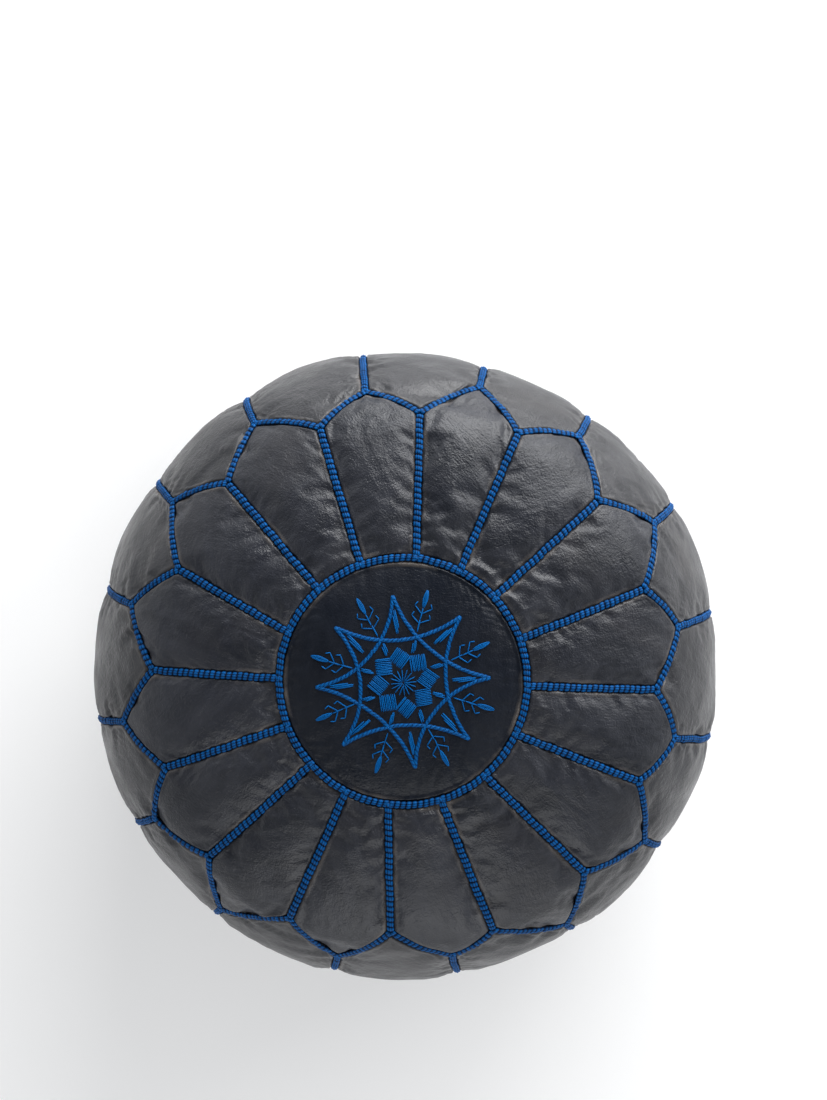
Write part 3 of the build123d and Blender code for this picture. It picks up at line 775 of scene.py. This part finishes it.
def on_medallion(flat, lift=0.0):
    """Points lift above the stuffed medallion's leather, given in plan: the disc's square grid
    is read backwards, and the four grid points round the place are blended."""
    x, y = flat[..., 0] / MEDALLION_R, flat[..., 1] / MEDALLION_R
    radius, wide = np.hypot(x, y), np.abs(x) >= np.abs(y)
    slope = np.where(wide, y / np.where(x == 0, 1, x), x / np.where(y == 0, 1, y))
    steep = np.arctan(slope) * 4 / np.pi
    lead = radius * np.sign(np.where(wide, x, y))
    count = len(MEDALLION)
    places = [np.interp(np.clip((value + 1) / 2, 0, 1), crowded(count - 1), np.arange(count))
              for value in (np.where(wide, lead * steep, lead), np.where(wide, lead, lead * steep))]
    row, column = [np.minimum(place.astype(int), count - 2) for place in places]
    down, along = (places[0] - row)[..., None], (places[1] - column)[..., None]
    point, out = [(t[row, column] * (1 - along) + t[row, column + 1] * along) * (1 - down)
                  + (t[row + 1, column] * (1 - along) + t[row + 1, column + 1] * along) * down
                  for t in (MEDALLION, MEDALLION_OUT)]
    return point + out * np.asarray(lift)[..., None]


def polar(share, degrees):
    """Points in plan at shares of the star's size."""
    return plan(np.asarray(share) * STAR_R, degrees)


def stitches(starts, ends, width, bow, seed):
    """Long flat stitches from starts to ends (N, 2) in plan, bowed sideways by bow at mid way:
    each is a low arch that dips into the leather at both ends, round in section."""
    dice = np.random.default_rng(seed)
    starts = starts + dice.normal(0, 0.00016, starts.shape)
    ends = ends + dice.normal(0, 0.00016, ends.shape)
    t = np.array([0.0, 0.06, 0.2, 0.5, 0.8, 0.94, 1.0])
    line = starts[:, None] + (ends - starts)[:, None] * t[None, :, None]
    heading = (ends - starts) / np.linalg.norm(ends - starts, axis=1, keepdims=True)
    side = np.stack([-heading[:, 1], heading[:, 0]], 1)
    bow = np.broadcast_to(bow, len(starts))[:, None] * np.sin(np.pi * t)
    line = line + side[:, None] * bow[..., None]
    angle = np.radians([-90, 0, 36, 72, 108, 144, 180])
    taper = np.clip(4 * np.sin(np.pi * np.clip(t, 0.04, 0.96)), 0.35, 1)[None, :, None]
    full = (width / 2 * dice.uniform(0.86, 1.08, len(starts)))[:, None, None] * taper
    plane = line[:, :, None] + side[:, None, None] * (full * np.cos(angle))[..., None]
    arch = 0.0003 + 0.00075 * np.clip(3.0 * np.sin(np.pi * t), 0, 1)
    lift = -0.0003 + arch[None, :, None] * np.clip(np.sin(angle) + 0.25, -0.4, 1.2)
    grids = on_medallion(plane, lift * np.ones_like(full))
    whole = np.ones(grids.shape[:3])
    # Painted shade: groove_shade darkens each stitch along its sides and underside
    marks = {"groove_shade": whole * (0.55 * (1 - np.clip(np.sin(angle), 0, 1)))[None, None, :],
             "along": whole * t[None, :, None] * 3 + dice.uniform(0, 90, len(starts))[:, None, None],
             "across": whole * np.cos(angle)[None, None, :] * 0.3,
             "hue": whole * dice.uniform(0, 1, len(starts))[:, None, None]}
    return list(grids), {key: list(value) for key, value in marks.items()}


star_thread = thread("star_thread", (0.0002, 0.018, 0.075), (0.0012, 0.138, 0.450), 2.0)


def embroidered(name, node, parts):
    """One piece of embroidery from parts, each a list of grids and their marks."""
    marks = {key: sum([part[1][key] for part in parts], []) for key in MARKS}
    piece = skin(name, sum([part[0] for part in parts], []), True, True, marks)
    piece.data.materials.append(star_thread)
    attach(piece, "cover")
    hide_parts(node)


def stem(path, half, pitch, seed):
    """Stem stitch along a path in plan: a thick thread whose stitches overlap on the slant."""
    point = on_medallion(path, -0.0001)
    facing = on_medallion(path, 0.001) - point
    grid, marks = braid(point, facing / np.linalg.norm(facing, axis=1, keepdims=True), seed,
                        half=half, up=0.85 * half, pitch=pitch, ribs=1, slant=0.55)
    return [grid], {key: [value] for key, value in marks.items()}


def star_line(number):
    """From star point number to number + 2 in plan: an arc round a far centre, whose middle
    lies STAR_WAIST from the star's middle."""
    first, last = STAR_TURN[number], STAR_TURN[(number + 2) % 8] - (360 if number > 5 else 0)
    half_turn = np.cos(np.radians((first - last) / 2))
    far = (STAR_R**2 - STAR_WAIST**2) / (2 * (STAR_R * half_turn - STAR_WAIST))
    centre = plan(far, (first + last) / 2)
    rays = np.array([plan(STAR_R, first), plan(STAR_R, last)]) - centre
    turns = np.unwrap(np.arctan2(rays[:, 1], rays[:, 0]))
    at = turns[0] + (turns[1] - turns[0]) * np.linspace(0, 1, 120)
    return centre + (far - STAR_WAIST) * np.stack([np.cos(at), np.sin(at)], 1)


embroidered("star_stitching", "star_embroidery",
            [stem(star_line(number), 0.0016, 0.0034, 500 + number) for number in range(8)])

MIDWAY = (STAR_TURN + np.append(STAR_TURN[1:], STAR_TURN[0] - 360)) / 2


def leaf(share, degrees, length, width, turned, seed):
    """A leaf of three long stitches, slipped along each other."""
    middle = polar(share, degrees)
    along = plan(1.0, degrees + turned)
    side = np.array([-along[1], along[0]])
    shift = np.array([-1.0, 0.0, 1.0])[:, None]
    slip = shift * 0.10 * length
    reach = length / 2 - np.abs(shift) * 0.1 * length
    aside = middle + side * shift * width / 3
    starts, ends = aside - along * (reach + slip), aside + along * (reach - slip)
    return stitches(starts, ends, width / 2.6, 0.0, seed)


embroidered("leaf_stitching", "leaf_embroidery",
            [leaf(0.70, STAR_TURN[n], 0.27 * STAR_R, 0.0034, (-1)**n * 5, 520 + n) for n in range(8)]
            + [leaf(0.43, MIDWAY[n], 0.15 * STAR_R, 0.0030, (-1)**n * 8, 530 + n) for n in range(8)])


def hatched(degrees, number, seed):
    """A square with one corner to the middle, filled with parallel stitches."""
    middle = polar(0.285, degrees)
    along = plan(1.0, degrees + (45 if number % 2 else -45))
    side = np.array([-along[1], along[0]])
    reach, rows = 0.094 * STAR_R, 10
    shift = (np.arange(rows) - (rows - 1) / 2)[:, None] * 2 * reach / rows
    return stitches(middle - along * reach + side * shift, middle + along * reach + side * shift,
                    2 * reach / rows * 0.90, 0.0, seed)


SQUARE_LEAN = (2, 4, 6, 5, -2, 7, 2, 0)
RAYS = 22.5 * np.arange(16) + 5
embroidered("rosette_stitching", "rosette_embroidery",
            [hatched(STAR_TURN[n] + SQUARE_LEAN[n], n, 540 + n) for n in range(8)]
            + [stitches(polar(0.012 + 0.02 * (np.arange(16) % 2), RAYS), polar(0.150, RAYS),
                        0.00085, 0.0, 550)])


def sprig(degrees, seed):
    """A stem outwards, a bud of four stitches, and two pairs of branches that hook outwards."""
    foot, neck = polar(0.60, degrees), polar(0.88, degrees)
    half_way = (foot + neck) / 2
    parts = [stitches(np.array([foot, half_way]), np.array([half_way, neck]), 0.0011, 0.0, seed)]
    tip = polar(1.09, degrees)
    out = (tip - neck) / np.linalg.norm(tip - neck)
    side = np.array([-out[1], out[0]])
    fan = np.array([-1.0, -0.35, 0.35, 1.0])
    parts.append(stitches(neck + side * fan[:, None] * 0.0003, tip + side * fan[:, None] * 0.0003,
                          0.0011, fan * 0.0011, seed + 1))
    for share, spread in ((0.70, 58), (0.81, 52)):
        for hand in (1, -1):
            joint = polar(share, degrees)
            elbow = joint + plan(0.125 * STAR_R, degrees + hand * spread)
            claw = elbow + plan(0.055 * STAR_R, degrees + hand * (spread - 75))
            parts.append(stitches(np.array([joint, elbow]), np.array([elbow, claw]),
                                  0.00095, 0.0, seed + 2 + hand))
    return parts


SPRIG_LEAN = (2, -1, 2, 0, 1, -1, 2, 0)
embroidered("sprig_stitching", "sprig_embroidery",
            sum([sprig(MIDWAY[n] + SPRIG_LEAN[n], 560 + 10 * n) for n in range(8)], []))

# ---- lining and filling -----------------------------------------------------------------------
# Under the leather is a bag of plain white cotton, open over the zip, and in it crumpled
# wadding.  Both are sewn or pushed in by hand, so they are soft and uneven.


def plain(name, colour, rough, weave, depth, metal=0.0):
    """A plain finish whose surface is broken up by a fine weave or by wear."""
    material, tree, shader = finish(name)
    links = tree.links
    place = tree.nodes.new("ShaderNodeTexCoord")
    noise = tree.nodes.new("ShaderNodeTexNoise")
    noise.inputs["Scale"].default_value = 90.0
    noise.inputs["Detail"].default_value = 4.0
    links.new(place.outputs["Object"], noise.inputs["Vector"])
    ramp = tree.nodes.new("ShaderNodeValToRGB")
    ramp.color_ramp.elements[0].position, ramp.color_ramp.elements[1].position = 0.3, 0.7
    ramp.color_ramp.elements[0].color = (*(0.72 * np.array(colour)), 1.0)
    ramp.color_ramp.elements[1].color = (*colour, 1.0)
    links.new(noise.outputs["Fac"], ramp.inputs["Fac"])
    links.new(ramp.outputs["Color"], shader.inputs["Base Color"])
    shader.inputs["Roughness"].default_value = rough
    shader.inputs["Metallic"].default_value = metal
    checks = tree.nodes.new("ShaderNodeTexWave")
    checks.bands_direction = "DIAGONAL"
    checks.inputs["Scale"].default_value = weave
    checks.inputs["Distortion"].default_value = 1.5
    checks.inputs["Detail"].default_value = 2.0
    links.new(place.outputs["Object"], checks.inputs["Vector"])
    links.new(bumped(tree, checks.outputs["Color"], depth, 0.6), shader.inputs["Normal"])
    return material


def welded(piece, gap=1e-5):
    """Closes the seams and poles where a piece's points meet."""
    whole = bmesh.new()
    whole.from_mesh(piece.data)
    bmesh.ops.remove_doubles(whole, verts=whole.verts, dist=gap)
    whole.to_mesh(piece.data)
    whole.free()
    piece.data.shade_smooth()
    return piece


def inner_base(number, lift, slot, rows, columns):
    """Half of an inner layer's base, drawn as the leather half is, with an opening that is
    twice slot wide over the zip."""
    a, b = np.meshgrid(number * np.linspace(1, -1, columns), np.linspace(0, 1, rows))
    flat = disc(a, b) * BASE_SEAM_R
    depth = np.sqrt(np.maximum(BASE_SEAM_R**2 - flat[..., 0]**2, 1e-12))
    edge = np.minimum(slot * np.clip((0.136 - np.abs(flat[..., 0])) / 0.006, 0, 1), depth)
    across = edge + flat[..., 1] * (1 - edge / depth)
    run = np.interp(np.hypot(flat[..., 0], across), SECTION[UNDER, 0][::-1], RUN[UNDER][::-1])
    return formed(np.arctan2(number * across, flat[..., 0]), run, lift)


LINING_IN = 0.0068
around = np.linspace(0, 2 * np.pi, 161)
down = np.linspace(0, BASE_RUN, 120)
shell = formed(around[None, :], down[:, None], -LINING_IN)
shell = shell + outward(shell[::-1])[::-1] * (0.0006 * swell(shell, 0.03, 601) - 0.0006)[..., None]
halves = [inner_base(number, -LINING_IN, 0.018, 30, 61) for number in (1, -1)]
bag = welded(skin("cotton_bag", [shell[::-1], *halves]), 4e-4)
bag.data.materials.append(plain("white_cotton", (0.70, 0.67, 0.60), 0.9, 1400.0, 0.0002))
cloth = bag.modifiers.new("thickness", "SOLIDIFY")
cloth.thickness = 0.0008
cloth.offset = -1.0
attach(bag, "cover")
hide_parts("cotton_lining")

WAD_IN = 0.0095
down = np.linspace(0, RUN[-1], 150)
lump = formed(around[None, :], down[:, None], -WAD_IN)
lumpy = 0.0022 * np.abs(swell(lump, 0.030, 611)) + 0.0012 * np.abs(swell(lump, 0.012, 612))
centre = np.array([0.0, 0.0, 0.16])
lump = centre + (lump - centre) * (1 - lumpy / 0.2)[..., None]
channel = np.clip((0.030 - np.abs(lump[..., 1])) / 0.008, 0, 1)
channel *= np.clip((0.145 - np.abs(lump[..., 0])) / 0.010, 0, 1)
lump[..., 2] += 0.007 * channel * (lump[..., 2] < 0.06)
filling = welded(skin("wadding", [lump[::-1]]), 1e-4)
filling.data.materials.append(plain("wadding", (0.62, 0.60, 0.56), 1.0, 300.0, 0.0015))
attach(filling, "cover")
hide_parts("stuffing")

# ---- zip in the base --------------------------------------------------------------------------
# A coarse brass zip closes the base so that the pouf can be filled: two black woven tapes,
# each sewn behind the leather with a row of thread, and teeth, end stops, slider and pull.
TAPE_Z, TAPE_T, TAPE_W, TAPE_Y = 0.0118, 0.0008, 0.014, 0.0034
SEW_Y, SEW_PITCH, SEW_LONG = 0.0092, 0.0034, 0.0026
SEW_WIDE, SEW_DEEP, SEW_UP, SEW_DIP = 0.00038, 0.0003, 0.00045, 0.0002
tape_black = plain("tape_black", (0.016, 0.016, 0.018), 0.8, 900.0, 0.0003)
tape_edge = np.array([(0, 0.15), (0.012, 0), (0.5, 0), (0.988, 0), (1, 0.15),
                      (1, 0.85), (0.988, 1), (0.5, 1), (0.012, 1), (0, 0.85)])
x = np.linspace(-0.126, 0.126, 90)[:, None]
wide, thick = tape_edge[None, :, 0], tape_edge[None, :, 1]
for hand, number in (("left", 1), ("right", -1)):
    y = number * (TAPE_Y + TAPE_W * wide) * np.ones_like(x)
    z = TAPE_Z + 0.00002 + TAPE_T * thick + 0.00012 * np.sin(x * 260 + 2 * wide)**2
    tape = np.stack([x * np.ones_like(y), y, z], -1)
    woven = skin(f"zip_tape_{hand}_woven", [tape if number > 0 else tape[:, ::-1]], True, True)
    woven.data.materials.append(tape_black)
    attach(woven, "cover")
    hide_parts(f"zip_tape_{hand}")

    # One row of running stitch: low arches of round thread on the leather's face
    points = panel_grids["base_half_" + hand].reshape(-1, 3)
    share = np.linspace(0, 1, 6)[:, None]
    arch = SEW_UP * np.sin(np.pi * share)**0.5 - SEW_DIP
    ring = np.radians(np.arange(0, 360, 60))
    grids = []
    for start in np.arange(-0.121, 0.1215, SEW_PITCH):
        middle = (start + 0.4 * SEW_LONG, number * SEW_Y)
        close = np.hypot(points[:, 0] - middle[0], points[:, 1] - middle[1]).argmin()
        along = start + SEW_LONG * share + 0 * ring
        aside = number * SEW_Y + SEW_WIDE * np.cos(ring) + 0 * share
        grids.append(np.stack([along, aside, points[close, 2] - arch + SEW_DEEP * np.sin(ring)], -1))
    sewing = skin(f"zip_sewing_{hand}", grids, True, True)
    sewing.data.materials.append(
        plain(f"black_thread_{hand}", (0.02, 0.02, 0.024), 0.6, 2500.0, 0.0001))
    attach(sewing, "cover")

brass = plain("worn_brass", (0.52, 0.38, 0.17), 0.34, 500.0, 0.00004, 1.0)
for node, body in (("zip_teeth_left", "cover"), ("zip_teeth_right", "cover"), ("zip_stops", "cover"),
                   ("zip_slider", "zip_slider"), ("zip_pull", "zip_pull")):
    cast = bpy.data.objects.new(node + "_cast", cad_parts[node].data.copy())
    scene.collection.objects.link(cast)
    welded(cast, 2e-6)
    whole = bmesh.new()
    whole.from_mesh(cast.data)
    bmesh.ops.dissolve_limit(whole, angle_limit=0.02, verts=whole.verts, edges=whole.edges)
    whole.to_mesh(cast.data)
    whole.free()
    cast.data.materials.clear()
    cast.data.materials.append(brass)
    rounded = cast.modifiers.new("rounded", "BEVEL")
    rounded.width = 0.00018
    rounded.segments = 2
    rounded.limit_method = "ANGLE"
    rounded.angle_limit = 0.7
    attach(cast, body)
    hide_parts(node)

# ---- floor ------------------------------------------------------------------------------------
# A plain pale floor, wide enough to fill the view from every side.
floor_mesh = bpy.data.meshes.new("floor")
floor_mesh.from_pydata([(-6, -6, 0), (6, -6, 0), (6, 6, 0), (-6, 6, 0)], [], [(0, 1, 2, 3)])
floor = bpy.data.objects.new("floor", floor_mesh)
scene.collection.objects.link(floor)
pale, _, paint = finish("pale_floor")
paint.inputs["Base Color"].default_value = (0.80, 0.80, 0.80, 1.0)
paint.inputs["Roughness"].default_value = 0.8
paint.inputs["Emission Color"].default_value = (1.0, 1.0, 1.0, 1.0)
paint.inputs["Emission Strength"].default_value = 0.20
floor_mesh.materials.append(pale)
